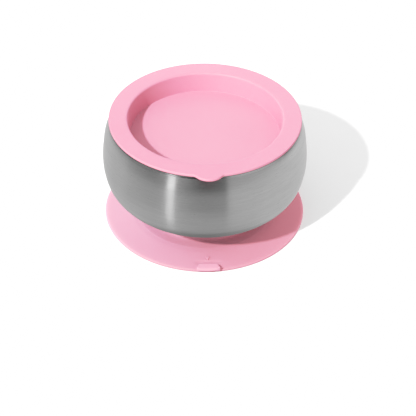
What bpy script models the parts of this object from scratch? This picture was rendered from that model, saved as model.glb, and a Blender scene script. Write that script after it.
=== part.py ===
"""Suction bowl for feeding a baby: a bulged double-wall steel bowl that plugs into a silicone
suction base, closed by a silicone lid.

Frame: metres, +Z up, Z along the bowl's axis, the origin on the table plane at the centre of
the base's underside. Both pull tabs point along -Y. Sizes below are in mm.
"""

import bmesh
import bpy
from math import asin, atan2, cos, pi, sin, tan
from mathutils import Vector

MM = 0.001               # one millimetre in scene units
SEGMENTS = 48            # facets round every turned piece
SHARP_ANGLE = 0.6        # radians; edges bent more than this are shaded sharp
GAP = 0.3                # working gap between neighbouring pieces

# ---------------------------------------------------------------- suction base sizes
BASE_R = 63.05           # outer radius of the suction base
CREASE_R = 43.5          # soft crease where the skirt's top dips into the moat
CREASE_TOP = 3.25
MOAT_R = 39.0            # outer edge of the moat's flat, thin bottom
MOAT_TOP = 2.3
MOAT_UNDER = 1.1
SEAL_IN = 59.8           # inner radius of the flat sealing lip on the table
SPLIT_R = 33.85          # middle of the gap between socket and skirt

PAD_R = 12.0             # centre pad on the table
PAD_EDGE_R = 13.6        # where the pad's sloped edge meets the socket's underside
SOCKET_UNDER = 0.9
SOCKET_FLOOR = 2.3
SOCKET_WALL_R = 32.2     # inside of the socket's groove
SOCKET_LIP_R = 31.85     # inside of the socket's retaining lip
SOCKET_TOP = 8.7
GROOVE_TOP = 6.8
LIP_UNDER = 7.1          # the groove slopes in to the lip's underside here

FOLD_Y = -57.65          # line the release tab folds along
FOLD_Z = 2.3
TAB_TOP = 4.65           # raised back edge of the finger tab
TAB_NOSE_TOP = 3.95      # its top slopes down to this at the nose
TAB_ROOT = 1.0           # its underside slopes up from here
TAB_NOSE_UNDER = 2.6
TAB_BACK_W = 10.8
TAB_FRONT_W = 15.2
TAB_BACK_Y = -60.4
TAB_FRONT_Y = -65.4      # tip of the curved nose
TAB_CORNER_Y = -63.9
NOSE_STEPS = 4           # pieces in each half of the nose curve

# ---------------------------------------------------------------- steel bowl sizes
STEEL = 0.6              # steel gauge
FOOT_R = 31.1            # steel foot that plugs into the socket
FOOT_BEAD_R = 31.5       # bead the socket's lip snaps over
FOOT_UNDER = SOCKET_FLOOR + GAP
FOOT_TOP = 6.4
BEAD_UNDER = 5.2
BEAD_SLOPE = 0.3         # height of the slopes above and below the bead
NECK_R = 29.8            # outer shell's neck, inside the foot cap
NECK_UNDER = 3.9

LINER_R = 56.0           # outside of the liner at the rim
LINER_FLOOR = 14.0       # top of the liner's floor
LINER_FLAT_R = 14.0      # radius of the floor's flat centre
LINER_UNDER = LINER_FLOOR - STEEL

RIM_TOP = 69.75
RIM_SEAM = 69.6          # height where the rolled rim meets the liner
RIM_IN = LINER_R + GAP   # inner edge of the rolled rim
RIM_OUT = 58.4
BOWL_MAX_R = 63.5
CURVE_STEPS = 2          # pieces between neighbouring points of a wall curve

# ---------------------------------------------------------------- lid sizes
LID_R = 59.3
LID_EDGE = 1.6           # thickness of the lid's flange
LID_UNDER = RIM_TOP + GAP
LID_TOP = LID_UNDER + LID_EDGE
RECESS_R = 47.6          # top edge of the sunk tray
RECESS_FLOOR_R = 46.3
RECESS_FLOOR = 58.9
TRAY_WALL = 1.9          # thickness of the tray's wall and floor
TRAY_UNDER = RECESS_FLOOR - TRAY_WALL

SEAL_R = 52.7            # sealing ring that goes down inside the bowl
SEAL_RING_IN = 51.0
SEAL_UNDER = 64.3
GROOVE_ROOF = 69.2       # top of the groove between sealing ring and tray
RIB_COUNT = 2            # ribs round the sealing ring
RIB_R = 54.5
RIB_TOP = 69.3           # top of the upper rib's root
RIB_PITCH = 2.4

LID_SPLIT_Y = -58.65     # line the lid's pull tab flexes along
LOBE_R = 9.66            # pull tab: a lobe of this radius
LOBE_Y = -53.74          # centre of the lobe's arc
LOBE_STEPS = 16


# ---------------------------------------------------------------- outlines
def smooth_curve(points, steps=CURVE_STEPS):
    """Catmull-Rom curve through (r, z) points, with steps pieces in each span."""
    curve = []
    count = len(points)
    for i in range(count - 1):
        start, end = Vector(points[i]), Vector(points[i + 1])
        before = Vector(points[i - 1]) if i > 0 else 2 * start - end
        after = Vector(points[i + 2]) if i + 2 < count else 2 * end - start
        for k in range(steps):
            t = k / steps
            linear = 2 * start + (end - before) * t
            square = (2 * before - 5 * start + 4 * end - after) * t * t
            cubic = (3 * start - before - 3 * end + after) * t ** 3
            curve.append(tuple(0.5 * (linear + square + cubic)))
    curve.append(tuple(points[-1]))
    return curve


def offset_right(curve, distance):
    """The curve moved sideways by distance, to the right of its direction."""
    moved = []
    for i, (x, y) in enumerate(curve):
        before = Vector(curve[max(i - 1, 0)])
        after = Vector(curve[min(i + 1, len(curve) - 1)])
        along = (after - before).normalized()
        moved.append((x + along.y * distance, y - along.x * distance))
    return moved


def eased(corners, steps=2):
    """A closed outline from (r, z, corner radius); a radius of 0 keeps a corner sharp."""
    outline = []
    points = [Vector(corner[:2]) for corner in corners]
    for i, point in enumerate(points):
        radius = corners[i][2]
        if radius <= 0:
            outline.append(tuple(point))
            continue
        back = (points[i - 1] - point).normalized()
        ahead = (points[(i + 1) % len(points)] - point).normalized()
        half_angle = back.angle(ahead) / 2
        run = radius / tan(half_angle)
        centre = point + (back + ahead).normalized() * (radius / sin(half_angle))
        first = point + back * run - centre
        last = point + ahead * run - centre
        start = atan2(first.y, first.x)
        turn = (atan2(last.y, last.x) - start + pi) % (2 * pi) - pi
        for k in range(steps + 1):
            angle = start + turn * k / steps
            outline.append((centre.x + radius * cos(angle), centre.y + radius * sin(angle)))
    return outline


# ---------------------------------------------------------------- bodies
def turned(outline):
    """A closed (r, z) outline turned about Z. Points on the axis become poles."""
    body = bmesh.new()
    angles = [2 * pi * k / SEGMENTS for k in range(SEGMENTS)]
    rings = []
    for r, z in outline:
        if r < 1e-6:
            rings.append([body.verts.new((0, 0, z))])
        else:
            rings.append([body.verts.new((r * cos(a), r * sin(a), z)) for a in angles])
    for i, ring in enumerate(rings):
        following = rings[(i + 1) % len(rings)]
        if len(ring) == 1 and len(following) == 1:
            continue
        for k in range(SEGMENTS):
            j = (k + 1) % SEGMENTS
            if len(ring) == 1:
                body.faces.new((ring[0], following[k], following[j]))
            elif len(following) == 1:
                body.faces.new((ring[k], following[0], ring[j]))
            else:
                body.faces.new((ring[k], following[k], following[j], ring[j]))
    return body


def keep_side(body, y, keep_front):
    """Cut the body by the plane at y and keep its -Y side (front) or its +Y side, closed."""
    bmesh.ops.bisect_plane(
        body, geom=body.verts[:] + body.edges[:] + body.faces[:], dist=1e-5,
        plane_co=(0, y, 0), plane_no=(0, 1, 0),
        clear_outer=keep_front, clear_inner=not keep_front,
    )
    cut_edges = [edge for edge in body.edges if edge.is_boundary]
    bmesh.ops.holes_fill(body, edges=cut_edges, sides=0)


def slab(outline, low, high):
    """A flat plate with an (x, y) outline between two heights."""
    body = bmesh.new()
    bottom = body.faces.new([body.verts.new((x, y, low)) for x, y in outline])
    top = bmesh.ops.extrude_face_region(body, geom=[bottom])
    verts = [item for item in top["geom"] if isinstance(item, bmesh.types.BMVert)]
    bmesh.ops.translate(body, vec=(0, 0, high - low), verts=verts)
    return body


def finish(name, body, mat, parent=None, origin=(0, 0, 0)):
    """Turn a closed body in mm into an object whose origin is at origin, also in mm."""
    bmesh.ops.recalc_face_normals(body, faces=body.faces)
    bmesh.ops.translate(body, vec=-Vector(origin), verts=body.verts)
    bmesh.ops.scale(body, vec=(MM, MM, MM), verts=body.verts)
    mesh = bpy.data.meshes.new(name)
    body.to_mesh(mesh)
    body.free()
    mesh.shade_smooth()
    mesh.set_sharp_from_angle(angle=SHARP_ANGLE)
    mesh.materials.append(mat)
    obj = bpy.data.objects.new(name, mesh)
    bpy.context.scene.collection.objects.link(obj)
    obj.location = Vector(origin) * MM
    obj.parent = parent
    return obj


def material(name, colour, roughness, metallic):
    mat = bpy.data.materials.new(name)
    mat.use_nodes = True
    shader = mat.node_tree.nodes["Principled BSDF"]
    shader.inputs["Base Color"].default_value = (*colour, 1.0)
    shader.inputs["Roughness"].default_value = roughness
    shader.inputs["Metallic"].default_value = metallic
    mat.diffuse_color = (*colour, 1.0)
    return mat


def axis_empty(name):
    """An empty at the world origin, parent of the bowl and its lid."""
    empty = bpy.data.objects.new(name, None)
    empty.empty_display_size = 0.01
    bpy.context.scene.collection.objects.link(empty)
    return empty


# ---------------------------------------------------------------- suction base
def skirt_body():
    """Whole skirt: flat sealing lip, a web that thickens inwards, thin moat by the socket."""
    inner_r = SPLIT_R + GAP / 2
    return turned(eased([
        (inner_r, MOAT_UNDER, 0), (MOAT_R + 0.6, MOAT_UNDER, 0), (CREASE_R, 1.05, 0),
        (57.6, 0.75, 0), (SEAL_IN, 0.0, 0), (BASE_R - 0.5, 0.0, 0), (BASE_R, 0.6, 0),
        (BASE_R - 0.15, 1.1, 0), (62.1, 1.7, 0.6), (60.0, 1.95, 0), (52.0, 2.35, 0),
        (CREASE_R, CREASE_TOP, 1.2), (MOAT_R, MOAT_TOP, 1.2), (inner_r, MOAT_TOP, 0),
    ]))


def build_skirt(mat):
    body = skirt_body()
    keep_side(body, FOLD_Y + GAP / 2, keep_front=False)
    finish("suction_skirt", body, mat)


def build_socket(mat):
    """Centre pad, floor, wall and the lip that holds the bowl's foot."""
    outer_r = SPLIT_R - GAP / 2
    outline = eased([
        (0.0, 0.0, 0), (PAD_R, 0.0, 0), (PAD_EDGE_R, SOCKET_UNDER, 0),
        (outer_r, SOCKET_UNDER, 0), (outer_r, SOCKET_TOP, 0.7),
        (SOCKET_LIP_R, SOCKET_TOP, 0.7), (SOCKET_LIP_R, LIP_UNDER, 0),
        (SOCKET_WALL_R, GROOVE_TOP, 0), (SOCKET_WALL_R, SOCKET_FLOOR, 0),
        (0.0, SOCKET_FLOOR, 0),
    ])
    finish("foot_socket", turned(outline), mat)


def finger_plate_body():
    """Plate with a curved nose; its top slopes down and its underside up towards the nose."""
    nose = []
    for k in range(-NOSE_STEPS, NOSE_STEPS + 1):
        side = k / NOSE_STEPS
        y = TAB_FRONT_Y + (TAB_CORNER_Y - TAB_FRONT_Y) * side ** 2
        nose.append((TAB_FRONT_W / 2 * side, y))
    outline = [(-TAB_BACK_W / 2, TAB_BACK_Y)] + nose + [(TAB_BACK_W / 2, TAB_BACK_Y)]
    body = slab(outline, TAB_ROOT, TAB_TOP)
    for vert in body.verts:
        along = (TAB_BACK_Y - vert.co.y) / (TAB_BACK_Y - TAB_FRONT_Y)
        if vert.co.z > (TAB_ROOT + TAB_TOP) / 2:
            vert.co.z = TAB_TOP + (TAB_NOSE_TOP - TAB_TOP) * along
        else:
            vert.co.z = TAB_ROOT + (TAB_NOSE_UNDER - TAB_ROOT) * along
    return body


def build_release_tab(mat):
    """The skirt's rim in front of the fold line, joined with a raised finger plate."""
    fold = (0, FOLD_Y, FOLD_Z)
    body = skirt_body()
    keep_side(body, FOLD_Y - GAP / 2, keep_front=True)
    tab = finish("release_tab", body, mat, origin=fold)
    plate = finish("finger_plate", finger_plate_body(), mat, origin=fold)
    plate.hide_render = True
    plate.display_type = "WIRE"
    union = tab.modifiers.new("finger_plate", "BOOLEAN")
    union.operation = "UNION"
    union.object = plate


# ---------------------------------------------------------------- steel bowl
def build_outer_shell(mat, parent):
    """Rolled rim, bulged side, shallow bottom and a short neck."""
    # (r, z) down the outside, from the rim to the bottom
    bulge = smooth_curve([
        (RIM_OUT, 69.3), (61.6, 61.4), (62.9, 52.8), (BOWL_MAX_R, 44.2), (62.8, 35.6),
        (60.1, 27.0), (53.4, 19.5), (41.8, 12.65), (33.0, 9.8),
    ])
    outside = [(RIM_IN, RIM_SEAM), (57.0, RIM_TOP), (57.8, RIM_TOP)] + bulge
    outside += [(30.6, 9.1), (NECK_R, 8.3), (NECK_R, NECK_UNDER)]
    neck_in = NECK_R - STEEL
    inside = [(RIM_IN, 68.8), (57.1, 68.7)] + offset_right(bulge, STEEL)[1:-1]
    inside += [(33.0, 10.8), (30.2, 10.0), (neck_in, 9.0), (neck_in, NECK_UNDER)]
    finish("outer_shell", turned(outside + inside[::-1]), mat, parent)


def build_inner_liner(mat, parent):
    """The food side, welded to the rolled rim."""
    # (r, z) down the liner's outside, from the rim to the flat floor
    outside = smooth_curve([
        (LINER_R, RIM_SEAM), (LINER_R, 62.0), (56.5, 53.0), (56.3, 43.0), (54.4, 32.5),
        (49.0, 23.0), (39.5, 16.2), (27.0, 13.4), (LINER_FLAT_R, LINER_UNDER),
    ])
    food_side = [(LINER_R - STEEL, RIM_SEAM)] + offset_right(outside, STEEL)[1:-1]
    food_side += [(LINER_FLAT_R, LINER_FLOOR), (0.0, LINER_FLOOR)]
    outline = outside + [(0.0, LINER_UNDER)] + food_side[::-1]
    finish("inner_liner", turned(outline), mat, parent)


def build_foot_cap(mat, parent):
    """Closes the shell underneath; its bead snaps into the socket."""
    inner_r = NECK_R + GAP
    floor = FOOT_UNDER + STEEL
    outline = eased([
        (0.0, FOOT_UNDER, 0), (FOOT_R, FOOT_UNDER, 0.8), (FOOT_R, BEAD_UNDER, 0),
        (FOOT_BEAD_R, BEAD_UNDER + BEAD_SLOPE, 0), (FOOT_BEAD_R, FOOT_TOP - BEAD_SLOPE, 0),
        (FOOT_R, FOOT_TOP, 0), (inner_r, FOOT_TOP, 0), (inner_r, floor, 0), (0.0, floor, 0),
    ])
    finish("foot_cap", turned(outline), mat, parent)


# ---------------------------------------------------------------- lid
def build_lid(mat, parent):
    # The tray sunk in the middle: a flat floor, a soft corner and a nearly upright wall.
    tray = eased([
        (0.0, RECESS_FLOOR, 0), (RECESS_FLOOR_R, RECESS_FLOOR, 0.5),
        (RECESS_R, LID_TOP - 0.5, 0),
    ], steps=3)
    flange = [
        (RECESS_R + 0.4, LID_TOP - 0.12), (RECESS_R + 1.3, LID_TOP), (LID_R - 0.35, LID_TOP),
        (LID_R, LID_TOP - 0.35), (LID_R, LID_UNDER + 0.25), (LID_R - 0.25, LID_UNDER),
    ]
    # Underneath: the ribbed sealing ring, a groove, and the tray's outside.
    underside = [(SEAL_R, LID_UNDER)]
    for i in range(RIB_COUNT):
        top = RIB_TOP - i * RIB_PITCH
        underside += [(SEAL_R, top), (RIB_R, top - 0.7), (RIB_R, top - 1.1), (SEAL_R, top - 1.5)]
    underside += [
        (SEAL_R, SEAL_UNDER), (SEAL_RING_IN, SEAL_UNDER), (SEAL_RING_IN, GROOVE_ROOF),
        (RECESS_R + TRAY_WALL, GROOVE_ROOF), (RECESS_FLOOR_R + TRAY_WALL, RECESS_FLOOR - 0.4),
        (RECESS_FLOOR_R + 0.4, TRAY_UNDER), (0.0, TRAY_UNDER),
    ]
    body = turned(tray + flange + underside)
    keep_side(body, LID_SPLIT_Y + GAP / 2, keep_front=False)
    finish("lid", body, mat, parent)


def build_lid_tab(mat):
    """The lobe in front of the flex line: an arc closed by a chord along its back."""
    chord_y = LID_SPLIT_Y - GAP / 2
    end = asin((chord_y - LOBE_Y) / LOBE_R)
    start = -pi - end
    angles = [start + (end - start) * k / LOBE_STEPS for k in range(LOBE_STEPS + 1)]
    lobe = [(LOBE_R * cos(a), LOBE_Y + LOBE_R * sin(a)) for a in angles]
    finish("lid_tab", slab(lobe, LID_UNDER, LID_TOP), mat, origin=(0, LID_SPLIT_Y, LID_TOP))


# ---------------------------------------------------------------- build
for old in list(bpy.data.objects):
    bpy.data.objects.remove(old, do_unlink=True)

base_silicone = material(
    "base_silicone", colour=(0.82, 0.45, 0.56), roughness=0.55, metallic=0.0)
lid_silicone = material(
    "lid_silicone", colour=(0.93, 0.53, 0.66), roughness=0.55, metallic=0.0)
brushed = material("brushed_steel", colour=(0.60, 0.60, 0.60), roughness=0.32, metallic=1.0)
satin = material("satin_steel", colour=(0.66, 0.66, 0.65), roughness=0.22, metallic=1.0)

bowl_axis = axis_empty("bowl_axis")
build_skirt(base_silicone)
build_socket(base_silicone)
build_release_tab(base_silicone)
build_outer_shell(brushed, bowl_axis)
build_inner_liner(satin, bowl_axis)
build_foot_cap(brushed, bowl_axis)
build_lid(lid_silicone, bowl_axis)
build_lid_tab(lid_silicone)
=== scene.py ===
# A steel bowl (outer shell, inner liner, foot cap) with a silicone lid and a silicone suction base.
# The bowl's axis is Z and the table is z = 0. The lid's pull tab and the base's release tab point
# to the front, -Y. Shapes are given in mm, and round ones as (radius, height) outlines.
from functools import cache
from math import atan2, cos, pi, radians, sin, sqrt, tan

import bmesh
import bpy
from mathutils import Matrix, Vector


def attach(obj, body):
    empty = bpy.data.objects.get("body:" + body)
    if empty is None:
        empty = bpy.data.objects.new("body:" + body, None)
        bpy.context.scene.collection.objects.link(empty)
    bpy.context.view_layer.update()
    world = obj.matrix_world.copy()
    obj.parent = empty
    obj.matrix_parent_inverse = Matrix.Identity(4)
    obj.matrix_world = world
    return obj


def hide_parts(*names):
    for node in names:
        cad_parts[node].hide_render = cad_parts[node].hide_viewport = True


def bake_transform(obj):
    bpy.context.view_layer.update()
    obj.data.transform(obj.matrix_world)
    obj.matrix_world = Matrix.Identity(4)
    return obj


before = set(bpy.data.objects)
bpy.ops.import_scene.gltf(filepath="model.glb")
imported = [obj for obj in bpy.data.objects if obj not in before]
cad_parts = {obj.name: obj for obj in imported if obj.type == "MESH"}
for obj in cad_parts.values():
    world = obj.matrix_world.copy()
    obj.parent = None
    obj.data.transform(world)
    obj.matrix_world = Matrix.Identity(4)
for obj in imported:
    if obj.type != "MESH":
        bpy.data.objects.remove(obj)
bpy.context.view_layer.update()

MM = 0.001
ON_AXIS = 1e-6                   # radii below this lie on the axis

# Steel
STEEL = 0.6                      # sheet thickness
RIM_TOP = 69.75
RIM_MOUTH_R = 56.05
POLISHED_FROM_Z = 67.9           # the shell is polished above this height
SHELL_NECK_R = 29.8              # the shell's short neck inside the foot cap
LINER_R = 56.0                   # outer face of the liner at its lip
LINER_FLOOR_R = 14.0             # the flat part of the liner's floor
LINER_FLOOR_Z = 13.4
WELD_R, WELD_Z = 29.95, 6.45

# Lid
LID_R, LID_TOP, LID_UNDER = 59.3, 71.65, 70.05
LOBE_R, LOBE_Y = 9.66, -53.74    # the pull tab's round lobe
LOBE_BLEND = 0.9                 # softness of the joint between flange and lobe
SPREAD_FROM_R, SPREAD_TO_R = 54.6, 58.6   # the flange is stretched to the lobe over this band
SPREAD_ABOVE_Z = 69.6
RECESS_R, TRAY_FLOOR_R, TRAY_FLOOR_Z, TRAY_WALL = 47.6, 46.3, 58.9, 1.9
SEAL_R, SEAL_FIN_R, SEAL_INNER_R, SEAL_BOTTOM_Z = 52.7, 54.5, 51.0, 64.3

# Suction base
CREASE_R, CREASE_Z = 43.5, 3.03  # where the skirt meets the root
CREASE_UNDER_Z = 1.05
ROOT_R = CREASE_R - 0.03
SKIRT_SLOPE_R = 60.0             # the skirt rises inwards from here
RIM_BAND_R = 58.9                # start of the rounded outer rim
TAB_BACK_Y, TAB_NOSE_Y = -60.4, -65.4
TAB_MIDDLE_Y = -62.9
UNDERCUT_Y = -62.7               # the tab's underside rises from here to the nose


# ------------------------------------------------------------------ outlines
def smooth_curve(points, steps):
    """Catmull-Rom curve through (r, z) points."""
    out = []
    count = len(points)
    for i in range(count - 1):
        p1, p2 = Vector(points[i]), Vector(points[i + 1])
        p0 = Vector(points[i - 1]) if i > 0 else 2 * p1 - p2
        p3 = Vector(points[i + 2]) if i + 2 < count else 2 * p2 - p1
        for k in range(steps):
            t = k / steps
            linear = 2 * p1 + (p2 - p0) * t
            square = (2 * p0 - 5 * p1 + 4 * p2 - p3) * t * t
            cube = (3 * p1 - p0 - 3 * p2 + p3) * t ** 3
            out.append(tuple(0.5 * (linear + square + cube)))
    out.append(tuple(points[-1]))
    return out


def steel_inner_face(curve):
    """The curve moved towards the bowl's inside by the sheet thickness."""
    out = []
    for i, (r, z) in enumerate(curve):
        before = Vector(curve[max(i - 1, 0)])
        after = Vector(curve[min(i + 1, len(curve) - 1)])
        along = (after - before).normalized()
        out.append((r + along.y * STEEL, z - along.x * STEEL))
    return out


def eased(corners, steps):
    """A closed outline of (x, y, rounding) corners, each rounded by an arc of this many steps."""
    out = []
    for i, (x, y, radius) in enumerate(corners):
        corner = Vector((x, y))
        if radius <= 0:
            out.append(tuple(corner))
            continue
        back = (Vector(corners[i - 1][:2]) - corner).normalized()
        ahead = (Vector(corners[(i + 1) % len(corners)][:2]) - corner).normalized()
        half = back.angle(ahead) / 2
        run = radius / tan(half)
        centre = corner + (back + ahead).normalized() * (radius / sin(half))
        start, end = corner + back * run - centre, corner + ahead * run - centre
        first = atan2(start.y, start.x)
        turn = (atan2(end.y, end.x) - first + pi) % (2 * pi) - pi
        for k in range(steps + 1):
            angle = first + turn * k / steps
            out.append((centre.x + radius * cos(angle), centre.y + radius * sin(angle)))
    return out


def split_long(outline, longest, closed=True):
    """Adds points so that no straight run is longer than this, which keeps the mesh even."""
    out = []
    count = len(outline)
    for i in range(count if closed else count - 1):
        start, end = Vector(outline[i]), Vector(outline[(i + 1) % count])
        out.append(tuple(start))
        if start.x < ON_AXIS and end.x < ON_AXIS:
            continue
        pieces = max(1, int((end - start).length / longest + 0.999))
        for k in range(1, pieces):
            out.append(tuple(start.lerp(end, k / pieces)))
    if not closed:
        out.append(tuple(outline[-1]))
    return out


def columns(count, fine=None, half_span=0.0):
    """Angles of the mesh's columns: count of them all round, or, if fine is given, that many
    degrees apart inside half_span degrees of -Y."""
    if fine is None:
        return [2 * pi * k / count for k in range(count)]
    start, end = -90 + half_span, 270 - half_span
    coarse_count = max(1, round((end - start) / (360 / count)))
    fine_count = max(2, round(2 * half_span / fine))
    out = [radians(start + (end - start) * k / coarse_count) for k in range(coarse_count)]
    out += [radians(end + 2 * half_span * k / fine_count) for k in range(fine_count)]
    return out


def smoothstep(x, low, high):
    t = min(1.0, max(0.0, (x - low) / (high - low)))
    return t * t * (3 - 2 * t)


# ------------------------------------------------------------------ meshes
def to_object(name, bm, material, sharp=35):
    """Edges that turn by more than sharp degrees are shaded as edges."""
    bmesh.ops.recalc_face_normals(bm, faces=bm.faces)
    if all(edge.is_manifold for edge in bm.edges) and bm.calc_volume(signed=True) < 0:
        bmesh.ops.reverse_faces(bm, faces=bm.faces)
    mesh = bpy.data.meshes.new(name)
    bm.to_mesh(mesh)
    bm.free()
    mesh.shade_smooth()
    mesh.set_sharp_from_angle(angle=radians(sharp))
    mesh.materials.append(material)
    obj = bpy.data.objects.new(name, mesh)
    bpy.context.scene.collection.objects.link(obj)
    return obj


def turned(name, outline, phis, material, shape=None, sharp=35):
    """A closed (r, z) outline turned about Z; shape(r, z, phi) -> (r, z) may vary it."""
    bm = bmesh.new()
    rings = []
    for r, z in outline:
        if r < ON_AXIS:
            rings.append([bm.verts.new((0, 0, z * MM))])
            continue
        ring = []
        for phi in phis:
            radius, height = shape(r, z, phi) if shape else (r, z)
            ring.append(bm.verts.new(
                (radius * cos(phi) * MM, radius * sin(phi) * MM, height * MM)))
        rings.append(ring)
    for i, ring in enumerate(rings):
        after = rings[(i + 1) % len(rings)]
        if len(ring) == 1 and len(after) == 1:
            continue
        for k in range(len(phis)):
            j = (k + 1) % len(phis)
            if len(ring) == 1:
                bm.faces.new((ring[0], after[k], after[j]))
            elif len(after) == 1:
                bm.faces.new((ring[k], after[0], ring[j]))
            else:
                bm.faces.new((ring[k], after[k], after[j], ring[j]))
    return to_object(name, bm, material, sharp)


def bridge(bm, rings):
    for ring, after in zip(rings, rings[1:]):
        for k in range(len(ring)):
            j = (k + 1) % len(ring)
            bm.faces.new((ring[k], ring[j], after[j], after[k]))


# ------------------------------------------------------------------ node helpers
class Nodes:
    """Short hand for building a node tree."""

    def __init__(self, tree):
        self.tree = tree
        self.tree.nodes.clear()
        self.x = -1600

    def add(self, kind, inputs=None, **props):
        node = self.tree.nodes.new(kind)
        node.location = (self.x, 0)
        self.x += 60
        for key, value in props.items():
            setattr(node, key, value)
        self.fill(node, inputs or {})
        return node

    def fill(self, node, inputs):
        """Links or sets inputs, given as {socket name or index: output socket or value}."""
        for key, value in inputs.items():
            if isinstance(value, bpy.types.NodeSocket):
                self.tree.links.new(value, node.inputs[key])
            else:
                node.inputs[key].default_value = value

    def math(self, operation, *values):
        node = self.add("ShaderNodeMath", dict(enumerate(values)), operation=operation)
        return node.outputs[0]

    def remap(self, value, span, to=(0.0, 1.0), smooth=False):
        node = self.add("ShaderNodeMapRange", dict(enumerate((value, *span, *to))), clamp=True)
        if smooth:
            node.interpolation_type = "SMOOTHSTEP"
        return node.outputs[0]

    def noise(self, vector, scale, detail, rough, distortion=0.0):
        return self.add("ShaderNodeTexNoise", {
            "Vector": vector, "Scale": scale, "Detail": detail, "Roughness": rough,
            "Distortion": distortion,
        }).outputs["Fac"]

    def mix(self, factor, first, second, blend="MIX"):
        # Sockets 0, 6, 7 and output 2 are the ones for colours.
        inputs = {0: factor, 6: first, 7: second}
        node = self.add("ShaderNodeMix", inputs, data_type="RGBA", blend_type=blend)
        return node.outputs[2]

    def ramp(self, factor, stops):
        """A grey ramp through (position, level) stops."""
        node = self.add("ShaderNodeValToRGB", {0: factor})
        elements = node.color_ramp.elements
        while len(elements) > 1:
            elements.remove(elements[-1])
        elements[0].position = stops[0][0]
        elements[0].color = opaque([stops[0][1]] * 3)
        for position, level in stops[1:]:
            elements.new(position).color = opaque([level] * 3)
        return node.outputs[0]

    def split_xyz(self, vector):
        return self.add("ShaderNodeSeparateXYZ", {0: vector}).outputs


def opaque(colour):
    return (*colour, 1)


def new_material(name):
    mat = bpy.data.materials.new(name)
    mat.use_nodes = True
    return mat, Nodes(mat.node_tree)


# ------------------------------------------------------------------ materials
def silicone(name, colour, deep, painted_light_below=None):
    """Matte moulded silicone: a drifting body colour, fine mould grain, faint flow marks, a soft
    bloom at glancing angles and lighter worn edges. Faces lower than painted_light_below (metres) get
    painted light: their colour is made a touch paler, standing in for light on the tray's floor."""
    mat, nodes = new_material(name)
    coords = nodes.add("ShaderNodeTexCoord").outputs["Object"]
    out = nodes.add("ShaderNodeOutputMaterial")
    bsdf = nodes.add("ShaderNodeBsdfPrincipled")
    drift = nodes.noise(coords, scale=22.0, detail=2.0, rough=0.5)
    flow = nodes.noise(coords, scale=95.0, detail=3.0, rough=0.55, distortion=0.6)
    grain = nodes.noise(coords, scale=3200.0, detail=2.0, rough=0.6)
    fine = nodes.noise(coords, scale=900.0, detail=3.0, rough=0.6)

    lighter = opaque([c * 1.12 for c in colour])
    darker = opaque([c * 0.82 for c in deep])
    worn = opaque([c * 1.15 + 0.03 for c in colour])
    tint = nodes.mix(nodes.remap(drift, span=(0.35, 0.65), smooth=True),
                     opaque(colour), opaque(deep))
    tint = nodes.mix(nodes.remap(flow, span=(0.3, 0.7), to=(0.0, 0.05)), tint, lighter)
    tint = nodes.mix(nodes.remap(grain, span=(0.35, 0.75), to=(0.0, 0.05)), tint, darker)
    pointed = nodes.add("ShaderNodeNewGeometry").outputs["Pointiness"]
    tint = nodes.mix(nodes.remap(pointed, span=(0.53, 0.64), to=(0.0, 0.10)), tint, worn)
    # painted light: faces below this height, the tray's floor, get a paler colour that stands in for
    # light reaching them
    if painted_light_below:
        height = nodes.split_xyz(coords)[2]
        pale = nodes.remap(height, span=(painted_light_below, painted_light_below + 0.0003), to=(1.0, 0.0),
                           smooth=True)
        paler = nodes.mix(1.0, tint, opaque((1.01, 1.09, 1.06)), blend="MULTIPLY")
        tint = nodes.mix(pale, tint, paler)

    nodes.fill(bsdf, {
        "Base Color": tint,
        "Roughness": nodes.remap(fine, span=(0.3, 0.7), to=(0.45, 0.56)),
        "IOR": 1.41,
        "Specular IOR Level": 0.42,
        "Subsurface Weight": 0.10,
        "Subsurface Radius": (1.0, 0.42, 0.50),
        "Subsurface Scale": 0.0012,
        "Sheen Weight": 0.05,
        "Sheen Roughness": 0.45,
        "Sheen Tint": opaque((1.0, 0.86, 0.92)),
    })
    # Weights of the three textures in the relief
    relief = nodes.math("ADD", nodes.math("MULTIPLY", grain, 0.55),
                        nodes.math("MULTIPLY", fine, 0.9))
    relief = nodes.math("ADD", relief, nodes.math("MULTIPLY", flow, 1.2))
    bump = nodes.add("ShaderNodeBump", {"Strength": 0.10, "Distance": 0.00012, "Height": relief})
    nodes.fill(bsdf, {"Normal": bump.outputs[0]})
    nodes.fill(out, {"Surface": bsdf.outputs[0]})
    mat.diffuse_color = opaque(colour)
    return mat


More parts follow.
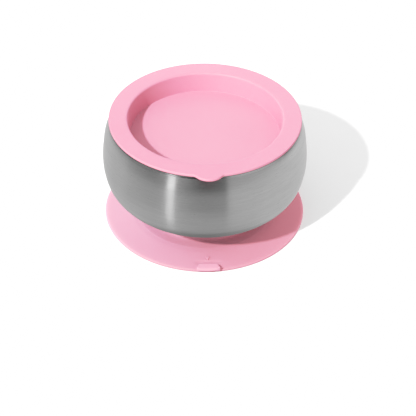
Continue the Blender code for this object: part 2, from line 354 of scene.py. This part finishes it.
def brushed_steel(name, colour, rough, aniso, depth, contrast, painted_gap_shade=0.0, under=0.0):
    """Steel brushed round the axis: long fine scratches that follow the turn, with the odd deeper
    one and a faint cloudiness. depth is the scratches' relief and contrast their tone; gap paints
    shade into the colour below the lid's flange, and under paints shade on faces that look down."""
    mat, nodes = new_material(name)
    out = nodes.add("ShaderNodeOutputMaterial")
    bsdf = nodes.add("ShaderNodeBsdfPrincipled")
    coords = nodes.add("ShaderNodeTexCoord").outputs["Object"]
    x, y, z = nodes.split_xyz(coords)
    radius = nodes.math("SQRT", nodes.math(
        "ADD", nodes.math("MULTIPLY", x, x), nodes.math("MULTIPLY", y, y)))
    safe_radius = nodes.math("MAXIMUM", radius, 0.0005)
    around_x = nodes.math("DIVIDE", x, safe_radius)
    around_y = nodes.math("DIVIDE", y, safe_radius)
    # distance along the profile, near enough: height on the wall, radius on the floor
    along = nodes.math("ADD", z, nodes.math("MULTIPLY", radius, 0.83))

    def streaks(turn, across, detail, rough):
        """turn is the frequency round the axis, across the one along the profile."""
        vector = nodes.add("ShaderNodeCombineXYZ")
        nodes.fill(vector, {
            0: nodes.math("MULTIPLY", around_x, turn),
            1: nodes.math("MULTIPLY", around_y, turn),
            2: nodes.math("MULTIPLY", along, across),
        })
        return nodes.noise(vector.outputs[0], scale=1.0, detail=detail, rough=rough)

    long_streaks = streaks(turn=5.0, across=2600.0, detail=3.0, rough=0.65)
    short_streaks = streaks(turn=26.0, across=5200.0, detail=3.0, rough=0.7)
    broad = streaks(turn=2.2, across=420.0, detail=2.0, rough=0.5)
    cloud = nodes.noise(coords, scale=55.0, detail=3.0, rough=0.5)
    scratches = nodes.math("ADD", nodes.math("MULTIPLY", long_streaks, 0.5),
                           nodes.math("MULTIPLY", short_streaks, 0.5))
    tone = nodes.remap(scratches, span=(0.32, 0.68),
                       to=(1.0 - 0.14 * contrast, 1.0 + 0.10 * contrast))
    tone = nodes.math("MULTIPLY", tone, nodes.remap(
        broad, span=(0.3, 0.7), to=(1.0 - 0.035 * contrast, 1.0 + 0.03 * contrast)))
    tone = nodes.math("MULTIPLY", tone,
                      nodes.remap(cloud, span=(0.3, 0.7), to=(0.985, 1.015)))
    if painted_gap_shade:
        # painted shade: the colour darkens where the lid's flange occludes the shell, and less in
        # front, where the glint lies
        close = nodes.add("ShaderNodeAmbientOcclusion", {"Distance": 0.005}, samples=24)
        shade = nodes.remap(close.outputs["AO"], span=(0.80, 0.985), to=(1.0 - painted_gap_shade, 1.0))
        front = nodes.remap(nodes.math("MULTIPLY", around_y, -1.0), span=(0.60, 0.92))
        shade_lifted_in_front = nodes.math("MULTIPLY", front, nodes.math("SUBTRACT", 1.0, shade))
        tone = nodes.math("MULTIPLY", tone, nodes.math("ADD", shade, shade_lifted_in_front))
    if under:
        # painted shade: the colour darkens where the side faces down, standing in for the shaded base
        # it mirrors
        normal = nodes.add("ShaderNodeNewGeometry").outputs["Normal"]
        facing = nodes.split_xyz(normal)[2]
        tone = nodes.math("MULTIPLY", tone,
                          nodes.remap(facing, span=(-0.80, -0.36), to=(1.0 - under, 1.0)))
    nodes.fill(bsdf, {
        "Base Color": nodes.mix(1.0, opaque(colour), tone, blend="MULTIPLY"),
        "Metallic": 1.0,
        "Roughness": nodes.remap(scratches, span=(0.3, 0.7), to=(rough - 0.04, rough + 0.05)),
        "Anisotropic": aniso,
        "Anisotropic Rotation": 0.25,
    })
    tangent = nodes.add("ShaderNodeTangent", direction_type="RADIAL", axis="Z")
    bump = nodes.add("ShaderNodeBump", {
        "Strength": depth, "Distance": 0.00002, "Height": scratches})
    nodes.fill(bsdf, {"Tangent": tangent.outputs[0], "Normal": bump.outputs[0]})
    nodes.fill(out, {"Surface": bsdf.outputs[0]})
    mat.diffuse_color = opaque(colour)
    return mat


# The base and the lid are one silicone; the base's colour is a touch paler, painted light for the
# brighter bloom it shows where lit.
mat_base = silicone("suction_base_silicone",
                    colour=(0.560, 0.210, 0.268), deep=(0.550, 0.204, 0.260))
mat_lid = silicone("lid_silicone", colour=(0.560, 0.187, 0.262), deep=(0.550, 0.181, 0.254),
                   painted_light_below=0.0590)
mat_brushed = brushed_steel("brushed_steel_outside", colour=(0.64, 0.64, 0.64), rough=0.30,
                            aniso=1.0, depth=0.24, contrast=0.8, painted_gap_shade=0.85, under=0.60)
mat_rim = brushed_steel("polished_steel_rim", colour=(0.62, 0.62, 0.62), rough=0.20,
                        aniso=0.5, depth=0.08, contrast=0.35, painted_gap_shade=0.85)
mat_satin = brushed_steel("satin_steel_food_side", colour=(0.70, 0.70, 0.69), rough=0.27,
                          aniso=0.62, depth=0.2, contrast=0.55)
mat_foot = brushed_steel("satin_steel_foot", colour=(0.62, 0.62, 0.615), rough=0.33,
                         aniso=0.5, depth=0.2, contrast=0.6)


# ------------------------------------------------------------------ steel bowl
def outer_shell():
    side = smooth_curve([
        (58.4, 69.3), (61.6, 61.4), (62.9, 52.8), (63.5, 44.2), (62.8, 35.6),
        (60.1, 27.0), (53.4, 19.5), (41.8, 12.65), (33.0, 9.8),
    ], 10)
    below_rim = [point for point in side if point[1] < 67.4]
    # The rolled rim: a flat land under the lid and a round shoulder down to the side. The
    # shoulder's curve runs on to the side's first two points, which the side then supplies.
    outside = eased([(RIM_MOUTH_R, 69.2, 0), (RIM_MOUTH_R, RIM_TOP, 0.12), (56.7, RIM_TOP, 0)], 5)
    outside += smooth_curve([
        (56.7, RIM_TOP), (57.35, 69.7), (57.95, 69.45), (58.4, 69.0), (58.72, 68.35),
        *below_rim[:2],
    ], 4)[1:-5]
    outside += below_rim
    neck = SHELL_NECK_R
    outside += smooth_curve(
        [(33.0, 9.8), (30.9, 9.15), (30.1, 8.6), (neck, 7.8), (neck, 6.6)], 5)[1:]
    outside += [(neck, 5.3), (neck, 3.9)]

    neck -= STEEL
    back = [(RIM_MOUTH_R, 69.1), (57.3, 69.0)] + steel_inner_face(side)[2:-2]
    back += smooth_curve([(33.0, 10.45), (30.9, 9.8), (29.6, 9.0), (neck, 8.0), (neck, 6.6)], 5)
    back += [(neck, 5.3), (neck, 3.9)]
    outline = outside + split_long(back, 4.0, closed=False)[::-1]
    shell = turned("bowl_outer_shell", outline, columns(288), mat_brushed)
    shell.data.materials.append(mat_rim)
    for face in shell.data.polygons:
        if face.center.z > POLISHED_FROM_Z * MM:
            face.material_index = 1
    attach(shell, "bowl")
    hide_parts("outer_shell")
    return shell


def inner_liner():
    lip_in_r = LINER_R - STEEL
    floor_top = LINER_FLOOR_Z + STEEL
    side = smooth_curve([
        (LINER_R, 68.6), (56.0, 62.0), (56.5, 53.0), (56.3, 43.0), (54.4, 32.5),
        (49.0, 23.0), (39.5, 16.2), (27.0, 13.7), (LINER_FLOOR_R, LINER_FLOOR_Z),
    ], 8)
    food_side = steel_inner_face(side)
    food_side[0] = (lip_in_r, 68.6)
    food_side[-1] = (LINER_FLOOR_R, floor_top)
    lip = eased([
        (lip_in_r, 68.6, 0), (lip_in_r, 69.35, 0.3), (LINER_R, 69.7, 0.15), (LINER_R, 69.2, 0),
    ], 5)[1:-1]
    floor_under = [(LINER_FLOOR_R, LINER_FLOOR_Z), (0.0, LINER_FLOOR_Z)]
    floor_upper = [(0.0, floor_top), (LINER_FLOOR_R, floor_top)]
    outline = (
        side
        + split_long(floor_under, 2.5, closed=False)[1:]
        + split_long(floor_upper, 2.5, closed=False)[:-1]
        + food_side[::-1]
        + lip
        + [(LINER_R, 69.2)]
    )
    liner = turned("bowl_inner_liner", outline, columns(288), mat_satin)
    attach(liner, "bowl")
    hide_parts("inner_liner")


def foot_cap():
    """A drawn cup under the shell, with its snap bead and a stamped ring."""
    cap = eased([  # radius, height, rounding
        (0.0, 2.6, 0), (17.0, 2.6, 0.5), (18.0, 3.0, 0.5), (20.0, 3.0, 0.5), (21.0, 2.6, 0.5),
        (31.1, 2.6, 0.9), (31.1, 5.2, 0.3), (31.5, 5.5, 0.15), (31.5, 6.1, 0.15),
        (31.1, 6.4, 0.15), (30.1, 6.4, 0.15), (30.1, 3.5, 0.1), (21.4, 3.5, 0.5),
        (20.4, 3.9, 0.5), (17.6, 3.9, 0.5), (16.6, 3.5, 0.5), (0.0, 3.5, 0),
    ], 5)
    foot = turned("bowl_foot_cap", split_long(cap, 2.2), columns(192), mat_foot)
    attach(foot, "bowl")
    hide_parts("foot_cap")
    return foot


def weld_beads(r, z, phi):
    """150 small waves on the outward half of the weld."""
    return (r + 0.04 * sin(phi * 150) if r > WELD_R else r), z


def weld_line():
    turns = [2 * pi * k / 12 for k in range(12)]
    section = [(WELD_R + 0.22 * cos(turn), WELD_Z + 0.16 * sin(turn)) for turn in turns]
    seam = turned("foot_weld_line", section, columns(360), mat_foot, shape=weld_beads)
    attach(seam, "bowl")
    return seam


# ------------------------------------------------------------------ silicone lid
@cache
def lid_edge(phi):
    """Radius of the lid's edge at this angle: the round flange joined softly to the tab's lobe,
    found by halving a range of radii."""
    low, high = 57.0, 66.0
    for _ in range(30):
        r = (low + high) / 2
        x, y = r * cos(phi), r * sin(phi)
        to_flange = r - LID_R
        to_lobe = sqrt(x * x + (y - LOBE_Y) ** 2) - LOBE_R
        overlap = max(LOBE_BLEND - abs(to_flange - to_lobe), 0.0) / LOBE_BLEND
        if min(to_flange, to_lobe) - overlap * overlap * LOBE_BLEND * 0.25 < 0:
            low = r
        else:
            high = r
    return (low + high) / 2


def lid_shape(r, z, phi):
    if z < SPREAD_ABOVE_Z or r < SPREAD_FROM_R:
        return r, z
    return r + (lid_edge(phi) - LID_R) * smoothstep(r, SPREAD_FROM_R, SPREAD_TO_R), z


def silicone_lid():
    tray = eased([(0.0, TRAY_FLOOR_Z, 0), (TRAY_FLOOR_R, TRAY_FLOOR_Z, 0.15), (RECESS_R, 70.3, 0)], 5)
    shoulder = smooth_curve([
        (RECESS_R, 70.3), (RECESS_R + 0.10, 70.8), (RECESS_R + 0.42, 71.27),
        (RECESS_R + 1.05, 71.57), (RECESS_R + 2.0, LID_TOP),
    ], 5)[1:]
    # The flange has a fine raised line round the middle of its edge.
    flange = eased([  # radius, height, rounding
        (50.6, LID_TOP, 0), (LID_R, LID_TOP, 0.36), (LID_R, 70.92, 0.03),
        (LID_R + 0.05, 70.86, 0.03), (LID_R, 70.8, 0.03), (LID_R, LID_UNDER, 0.22),
        (57.9, LID_UNDER, 0), (SPREAD_FROM_R, LID_UNDER, 0),
    ], 6)
    # The ring that fits inside the liner, with two fins, and then the tray's underside.
    seal = [(SEAL_R, LID_UNDER, 0.3)]
    for fin_top in (69.3, 66.9):
        seal += [
            (SEAL_R, fin_top, 0.3), (SEAL_FIN_R, fin_top - 0.75, 0.14),
            (SEAL_FIN_R, fin_top - 1.05, 0.14), (SEAL_R, fin_top - 1.5, 0.3),
        ]
    seal += [
        (SEAL_R, SEAL_BOTTOM_Z, 0.5), (SEAL_INNER_R, SEAL_BOTTOM_Z, 0.5),
        (SEAL_INNER_R, 69.2, 0.4), (RECESS_R + TRAY_WALL, 69.2, 0.4),
        (TRAY_FLOOR_R + TRAY_WALL, 58.5, 1.0),
        (TRAY_FLOOR_R + 0.2, TRAY_FLOOR_Z - TRAY_WALL, 1.0),
        (0.0, TRAY_FLOOR_Z - TRAY_WALL, 0), (0.0, TRAY_FLOOR_Z, 0),
    ]
    outline = split_long(tray, 1.6, closed=False) + shoulder
    outline += split_long(flange, 0.6, closed=False)
    outline += split_long(eased(seal, 5)[:-1], 1.8, closed=False)
    lid = turned("silicone_lid", outline, columns(240, fine=0.45, half_span=14.0), mat_lid,
                 shape=lid_shape, sharp=40)
    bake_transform(lid)
    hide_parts("lid", "lid_tab")
    return lid


# ------------------------------------------------------------------ silicone suction base
def skirt_top(r):
    """Height of the skirt's upper surface: it rises inwards and rolls over before the crease."""
    t = min(1.0, max(0.0, (SKIRT_SLOPE_R - r) / (SKIRT_SLOPE_R - CREASE_R)))
    return 1.95 + 0.25 * t + 1.05 * t * t - 0.22 * smoothstep(-r, -47.5, -CREASE_R) * t


def tab_surround(r, z, phi):
    """Beside the finger tab the skirt swells up to it in a hollow fillet; behind it lies a shallow
    groove, gentle on the tab's side and steeper on the far side."""
    x, y = r * cos(phi), r * sin(phi)
    if z < 1.2 or abs(x) > 14 or y > -53:
        return r, z
    across = max(abs(x) - 5.2 - 0.6 * max(TAB_BACK_Y - y, 0.0), 0.0)
    behind = max(y - TAB_BACK_Y, 0.0)
    swell = 0.6 * max(0.0, 1.0 - sqrt(across ** 2 + behind ** 2) / 2.6) ** 2
    groove = 0.42 * smoothstep(behind, 1.6, 5.0) * (1 - smoothstep(behind, 4.7, 6.8))
    groove *= 1 - smoothstep(abs(x), 4.6, 9.6)
    return r, z + swell * (1 - smoothstep(r, 60.8, 62.6)) - groove


def suction_skirt():
    top_radii = [CREASE_R + (RIM_BAND_R - CREASE_R) * k / 36 for k in range(36)]
    top = [(r, skirt_top(r)) for r in top_radii]
    rim_band = smooth_curve([
        (RIM_BAND_R, skirt_top(RIM_BAND_R)), (60.2, 1.93), (61.4, 1.86), (62.2, 1.74),
        (62.65, 1.52), (62.9, 1.15), (63.05, 0.6), (62.95, 0.2), (62.6, 0.03), (62.2, 0.0),
    ], 5)
    bottom = eased([
        (62.2, 0.0, 0), (59.8, 0.0, 0.3), (57.8, 0.75, 0.8),
        (CREASE_R, CREASE_UNDER_Z, 0), (CREASE_R, CREASE_Z, 0),
    ], 4)[1:-1]
    outline = top + rim_band + split_long(bottom, 1.2, closed=False)
    skirt = turned("suction_base_skirt", outline, columns(200, fine=0.6, half_span=16.0),
                   mat_base, shape=tab_surround)
    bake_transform(skirt)
    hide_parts("suction_skirt", "release_tab")
    return skirt


def base_root():
    """The moat inside the crease: the skirt dips to a thin diaphragm, which turns up into a sleeve
    round the socket."""
    top = smooth_curve([
        (ROOT_R, CREASE_Z), (43.0, 3.02), (42.2, 2.97), (41.2, 2.87), (40.0, 2.74),
        (38.8, 2.62), (37.6, 2.54), (36.4, 2.56), (35.5, 2.85), (34.9, 3.6), (34.55, 4.8),
        (34.3, 6.0), (34.06, 7.1),
    ], 4)
    under = [(34.0, 7.1), (34.0, 4.0), (34.0, 1.5), (34.4, 1.1), (39.5, 1.1),
             (ROOT_R, CREASE_UNDER_Z)]
    root = turned("suction_base_root", split_long(top + under, 0.9), columns(240), mat_base)
    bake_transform(root)
    return root


def foot_socket():
    outline = eased([  # radius, height, rounding
        (0.0, 0.0, 0), (12.0, 0.0, 0.4), (13.6, 0.9, 0.8), (33.7, 0.9, 0.3), (33.85, 7.2, 0),
        (33.7, 8.7, 0.8), (31.85, 8.7, 0.7), (31.85, 7.1, 0.15), (32.2, 6.8, 0.15),
        (32.2, 2.3, 0.5), (0.0, 2.3, 0),
    ], 5)
    socket = turned("suction_base_socket", split_long(outline, 1.6), columns(240), mat_base)
    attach(socket, "socket")
    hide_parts("foot_socket")
    return socket


def pad_top(y):
    nose_drop = 0.66 * smoothstep(-y, 63.6, 65.9) / smoothstep(-TAB_NOSE_Y, 63.6, 65.9)
    return 4.85 - 0.15 * (TAB_BACK_Y - y) - nose_drop


def pad_under(y):
    return 0.9 + (3.05 - 0.9) * max(0.0, (UNDERCUT_Y - y) / (UNDERCUT_Y - TAB_NOSE_Y))


def release_tab():
    """A finger pad that stands up from the rim, widens towards its nose and slopes down to it,
    with its underside undercut so that a finger nail gets in."""
    plan = [(-5.4, TAB_BACK_Y, 0.8), (-7.6, -63.9, 0.9)]
    plan += [(7.6 * k / 6, TAB_NOSE_Y + 1.5 * (k / 6) ** 2, 0) for k in range(-5, 6)]
    plan += [(7.6, -63.9, 0.9), (5.4, TAB_BACK_Y, 0.8)]
    rim = [Vector(point) for point in split_long(eased(plan, 6), 0.32)]
    count = len(rim)
    inward = []
    for k in range(count):
        along = (rim[(k + 1) % count] - rim[k - 1]).normalized()
        inward.append(Vector((-along.y, along.x)))
    centre = Vector((0.0, TAB_MIDDLE_Y))
    bm = bmesh.new()

    def ring_at(points, height, drop=0.0):
        return [bm.verts.new((p.x * MM, p.y * MM, (height(p.y) + drop) * MM)) for p in points]

    edges = []
    # For each face: its height, the way its edge rounds over, and the edge's radius
    for height, side, soft in ((pad_top, -1, 0.45), (pad_under, 1, 0.25)):
        rings = []
        for distance in [soft * (1 - cos(pi / 2 * k / 7)) for k in range(8)]:
            drop = soft - sqrt(max(0.0, soft * soft - (soft - distance) ** 2))
            points = [p + way * distance for p, way in zip(rim, inward)]
            rings.append(ring_at(points, height, side * drop))
        inner = [p + way * soft for p, way in zip(rim, inward)]
        for k in range(1, 9):
            rings.append(ring_at([p.lerp(centre, k / 9) for p in inner], height))
        hub = ring_at([centre], height)[0]
        bridge(bm, rings)
        for k in range(count):
            bm.faces.new((rings[-1][k], rings[-1][(k + 1) % count], hub))
        edges.append(rings[0])
    upper, lower = edges
    middle = [
        [bm.verts.new(a.co.lerp(b.co, j / 4)) for a, b in zip(upper, lower)] for j in range(1, 4)
    ]
    bridge(bm, [upper, *middle, lower])
    tab = to_object("release_tab_pad", bm, mat_base, sharp=50)
    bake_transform(tab)
    return tab


def pull_mark():
    """A plain raised triangle with softened edges that points at the release tab."""
    low, high = 1.9, 2.66
    corners = [(-1.7, -50.6), (0.0, -54.0), (1.7, -50.6)]
    bm = bmesh.new()
    face = bm.faces.new([bm.verts.new((x * MM, y * MM, low * MM)) for x, y in corners])
    top = bmesh.ops.extrude_face_region(bm, geom=[face])
    verts = [item for item in top["geom"] if isinstance(item, bmesh.types.BMVert)]
    bmesh.ops.translate(bm, vec=(0, 0, (high - low) * MM), verts=verts)
    bmesh.ops.recalc_face_normals(bm, faces=bm.faces)
    edges = [edge for edge in bm.edges if edge.calc_face_angle(0) > radians(25)]
    bmesh.ops.bevel(bm, geom=edges, offset=0.10 * MM, segments=4, profile=0.5, affect="EDGES",
                    clamp_overlap=True)
    mark = to_object("pull_mark", bm, mat_base, sharp=40)
    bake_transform(mark)
    return mark


shell = outer_shell()
inner_liner()
foot = foot_cap()
seam = weld_line()
lid = silicone_lid()
skirt = suction_skirt()
root = base_root()
socket = foot_socket()
tab = release_tab()
mark = pull_mark()
STEEL_PIECES = (shell, foot, seam)
BASE_PIECES = (skirt, root, socket, tab, mark)

# ------------------------------------------------------------------ stage
TWIST_DEG = -2.8               # camera, panels and studio are turned this much about the bowl
TWIST = radians(TWIST_DEG)
FLOOR_SEEN = 1.12              # the floor is brighter to the camera
FLOOR_REFLECTING = 0.52        # than it is as a reflector


def twisted(vector):
    return Matrix.Rotation(TWIST, 3, "Z") @ Vector(vector)


def floor_white():
    mat, nodes = new_material("floor_white")
    out = nodes.add("ShaderNodeOutputMaterial")
    diffuse = nodes.add("ShaderNodeBsdfDiffuse")
    coords = nodes.add("ShaderNodeTexCoord").outputs["Object"]
    tone = nodes.remap(nodes.noise(coords, scale=40.0, detail=3.0, rough=0.5),
                       span=(0.3, 0.7), to=(0.985, 1.0))
    seen = nodes.add("ShaderNodeLightPath").outputs["Is Camera Ray"]
    gain = nodes.math("ADD", FLOOR_REFLECTING,
                      nodes.math("MULTIPLY", seen, FLOOR_SEEN - FLOOR_REFLECTING))
    nodes.fill(diffuse, {"Color": nodes.math("MULTIPLY", gain, tone)})
    nodes.fill(out, {"Surface": diffuse.outputs[0]})
    return mat


bm = bmesh.new()
bmesh.ops.create_grid(bm, x_segments=1, y_segments=1, size=6.0)
floor = to_object("floor", bm, floor_white())
floor.location = (0, 0, -0.00005)
floor.visible_glossy = False


# ------------------------------------------------------------------ lights
def direction(azimuth, elevation):
    """Unit vector at these angles in degrees."""
    azimuth, elevation = radians(azimuth), radians(elevation)
    return Vector((cos(elevation) * cos(azimuth), cos(elevation) * sin(azimuth), sin(elevation)))


def group(name, pieces):
    made = bpy.data.collections.new(name)
    for piece in pieces:
        made.objects.link(piece)
    return made


def add_lamp(name, kind, power, source, receivers):
    """A lamp that shines from the direction source, on the collection receivers."""
    data = bpy.data.lights.new(name, kind)
    data.energy = power
    lamp = bpy.data.objects.new(name, data)
    bpy.context.scene.collection.objects.link(lamp)
    lamp.rotation_mode = "QUATERNION"
    lamp.rotation_quaternion = source.to_track_quat("Z", "Y")
    lamp.light_linking.receiver_collection = receivers
    return lamp


def soft_panel(name, place, aim, size, power, colour, pieces):
    """A small soft panel that only shows on the pieces it is made for."""
    place = twisted(place)
    panel = add_lamp(name, "AREA", power, place - twisted(aim), pieces)
    panel.location = place
    panel.data.shape = "RECTANGLE"
    panel.data.size, panel.data.size_y = size
    panel.data.color = colour
    panel.visible_camera = False
    panel.visible_glossy = False


# The key lamp. The shell and foot mirror the studio's window instead, so it is kept off them. The
# suction base has a weaker key of its own.
key_source = direction(azimuth=-129.9 + TWIST_DEG, elevation=41.5)
off_key = group("pieces_off_the_key", STEEL_PIECES + BASE_PIECES)
for entry in off_key.collection_objects:
    entry.light_linking.link_state = "EXCLUDE"
base_pieces = group("base_pieces", BASE_PIECES)
for name, power, receivers in (("key", 6.1, off_key), ("key_on_base", 4.6, base_pieces)):
    key = add_lamp(name, "SUN", power, key_source, receivers)
    key.data.angle = radians(3.0)
    key.data.color = (1.0, 0.995, 0.985)
    key.location = key_source * 2.0

# The window's glint on the brushed side, and its weaker mirror image in the table:
# name, power, azimuth in degrees, rise
steel_pieces = group("steel_pieces", STEEL_PIECES)
for name, power, azimuth, rise in (
    ("window_glint", 0.19, -127.4, 0.02), ("table_glint", 0.06, -132.4, -0.84),
):
    source = Vector((cos(radians(azimuth)), sin(radians(azimuth)), rise))
    glint = add_lamp(name, "SUN", power, source, steel_pieces)
    glint.data.angle = radians(8.0)
    glint.visible_diffuse = False

# On the lid: one panel skims it from behind, one looks into its tray, one fills it from the back.
lit_lid = group("lit_lid", [lid])
soft_panel("skim_panel", place=(-0.01, 0.185, 0.091), aim=(0, 0.03, 0.0717), size=(0.16, 0.02),
           power=0.30, colour=(0.8, 1.0, 1.15), pieces=lit_lid)
soft_panel("tray_panel", place=(-0.15, -0.48, 0.145), aim=(0, 0.04, 0.065), size=(0.20, 0.06),
           power=1.1, colour=(0.8, 1.0, 0.85), pieces=lit_lid)
soft_panel("back_panel", place=(-0.05, 0.40, 0.26), aim=(0, 0, 0.03), size=(0.5, 0.3),
           power=0.75, colour=(1.0, 0.95, 1.0), pieces=lit_lid)
# On the base: a cool one low on the left, a warm one low on the right, one at the tab's nose.
lit_base = group("lit_base", [skirt, root, tab, mark])
soft_panel("low_left", place=(-0.23, 0.07, 0.09), aim=(-0.05, 0, 0), size=(0.25, 0.10),
           power=1.2, colour=(0.78, 1.0, 1.22), pieces=lit_base)
soft_panel("low_right", place=(0.26, 0.0, 0.13), aim=(0.05, 0, 0), size=(0.30, 0.10),
           power=0.5, colour=(1.0, 0.80, 0.80), pieces=lit_base)
soft_panel("tab_panel", place=(-0.03, -0.30, 0.12), aim=(0, -0.063, 0), size=(0.10, 0.05),
           power=0.30, colour=(0.8, 1.05, 1.40), pieces=group("lit_tab", [tab]))
for piece in BASE_PIECES:
    piece.visible_glossy = False

# ------------------------------------------------------------------ studio round the bowl
AMBIENT = 0.98


def panel_ramp(level, panels):
    """Stops of a brightness ramp round the studio, from -180 to 180 degrees: a base level and,
    over it, panels of (from, to, brightness, softness of first edge, softness of second edge)."""
    def brightness(azimuth):
        value = level(azimuth)
        for start, end, bright, soft_start, soft_end in panels:
            weight = smoothstep(azimuth, start - soft_start, start + soft_start)
            weight *= 1 - smoothstep(azimuth, end - soft_end, end + soft_end)
            value += (bright - value) * weight
        return value

    marks = {-180.0, 180.0, -10.0, 50.0, 90.0, 130.0, 160.0}
    for start, end, _, soft_start, soft_end in panels:
        marks |= {start + soft_start * part for part in (-1, -0.5, 0, 0.5, 1)}
        marks |= {end - soft_end, end, end + soft_end}
    return [((mark + 180) / 360, brightness(mark)) for mark in sorted(marks)]


def wall_level(azimuth):
    """Pale walls at the back that darken towards the left front."""
    if azimuth > 60:
        return 1.10 - 0.45 * smoothstep(azimuth, 90, 170)
    if azimuth > -80:
        return 0.555 + 0.34 * (max(0.0, azimuth + 66) / 126) ** 0.6
    return 0.30 + 0.26 * smoothstep(-azimuth, 145, 185)


def build_studio():
    world = bpy.data.worlds.new("studio")
    bpy.context.scene.world = world
    world.use_nodes = True
    world.cycles.sampling_method = "NONE"
    nodes = Nodes(world.node_tree)
    out = nodes.add("ShaderNodeOutputWorld")
    background = nodes.add("ShaderNodeBackground")
    view = nodes.add("ShaderNodeTexCoord").outputs["Generated"]
    turned_view = nodes.add("ShaderNodeVectorRotate", {"Vector": view, "Angle": -TWIST},
                            rotation_type="Z_AXIS").outputs[0]
    x, y, rise = nodes.split_xyz(turned_view)
    azimuth = nodes.math("ARCTAN2", y, x)
    where = nodes.math("ADD", nodes.math("DIVIDE", azimuth, 2 * pi), 0.5)

    def toward(azimuth, elevation):
        inputs = {0: turned_view, 1: direction(azimuth, elevation)}
        dot = nodes.add("ShaderNodeVectorMath", inputs, operation="DOT_PRODUCT")
        return dot.outputs["Value"]

    # The walls with a narrow window and the dark camera side, and the level below them
    walls = nodes.ramp(where, panel_ramp(wall_level, [
        (-133, -120, 0.42, 5, 5),
        (-112, -66, 0.02, 14, 1),
    ]))
    low = nodes.ramp(where, panel_ramp(lambda azimuth: 0.72, [(-112, -66, 0.78, 14, 4)]))
    mirrored = nodes.mix(nodes.remap(rise, span=(-0.70, -0.05)), low, walls)
    # Above, the room is dark towards the camera, apart from the window's glow, and pale behind.
    behind = nodes.remap(y, span=(0.0, 0.6), to=(0.08, 0.50), smooth=True)
    rightward = nodes.remap(x, span=(0.0, 0.5), to=(0.0, 0.28), smooth=True)
    window = nodes.remap(toward(azimuth=-129, elevation=56),
                         span=(cos(radians(26)), cos(radians(7))), smooth=True)
    window = nodes.math("POWER", window, 2.0)
    ceiling = nodes.math("ADD", nodes.math("ADD", behind, rightward),
                         nodes.math("MULTIPLY", window, 1.7))
    mirrored = nodes.mix(nodes.remap(rise, span=(0.15, 0.40), smooth=True), mirrored, ceiling)
    mirrored = nodes.mix(nodes.remap(rise, span=(-0.85, -1.0)), mirrored,
                         opaque((0.22, 0.22, 0.22)))
    # Diffuse rays see an even dome, a little brighter on the right, and the camera sees white.
    side_light = nodes.remap(toward(azimuth=-40, elevation=5), span=(-1.0, 1.0), to=(0.92, 1.12))
    dome = nodes.remap(rise, span=(-0.2, 1.0), to=(AMBIENT * 0.9, AMBIENT * 1.05))
    dome = nodes.math("MULTIPLY", dome, side_light)
    path = nodes.add("ShaderNodeLightPath")
    rays = nodes.mix(path.outputs["Is Diffuse Ray"], mirrored, dome)
    rays = nodes.mix(path.outputs["Is Camera Ray"], rays, opaque((1.6, 1.6, 1.6)))
    nodes.fill(background, {"Color": rays, "Strength": 1.0})
    nodes.fill(out, {"Surface": background.outputs[0]})


def build_camera():
    data = bpy.data.cameras.new("camera")
    data.sensor_fit = "HORIZONTAL"
    data.sensor_width = 36.0
    data.lens = 148.997596
    data.shift_x = -0.000961538
    data.shift_y = 0.000961538
    data.clip_start = 0.01
    data.clip_end = 50.0
    camera = bpy.data.objects.new("camera", data)
    bpy.context.scene.collection.objects.link(camera)
    right = twisted((0.9999356, 0.00704209, 0.00889959)).normalized()
    up = twisted((-0.01134874, 0.62047777, 0.78414192))
    up = (up - right * up.dot(right)).normalized()
    rotation = Matrix((right, up, right.cross(up))).transposed().to_4x4()
    place = twisted((2.579463, -862.716719, 682.638576)) * MM
    camera.matrix_world = Matrix.Translation(place) @ rotation
    bpy.context.scene.camera = camera


def set_tone_curve():
    """A soft shoulder: straight up to a bright mid tone, then rolling off to white."""
    white = 1.5
    display = bpy.context.scene.view_settings
    display.view_transform = "Standard"
    display.look = "None"
    display.use_curve_mapping = True
    mapping = display.curve_mapping
    mapping.white_level = (white, white, white)
    mapping.extend = "HORIZONTAL"
    combined = mapping.curves[3]
    for light, shown in (
        (0.3, 0.3), (0.6, 0.6), (0.8, 0.72), (1.0, 0.815), (1.2, 0.905), (1.4, 0.98),
    ):
        combined.points.new(light / white, shown)
    mapping.update()


build_studio()
build_camera()
set_tone_curve()
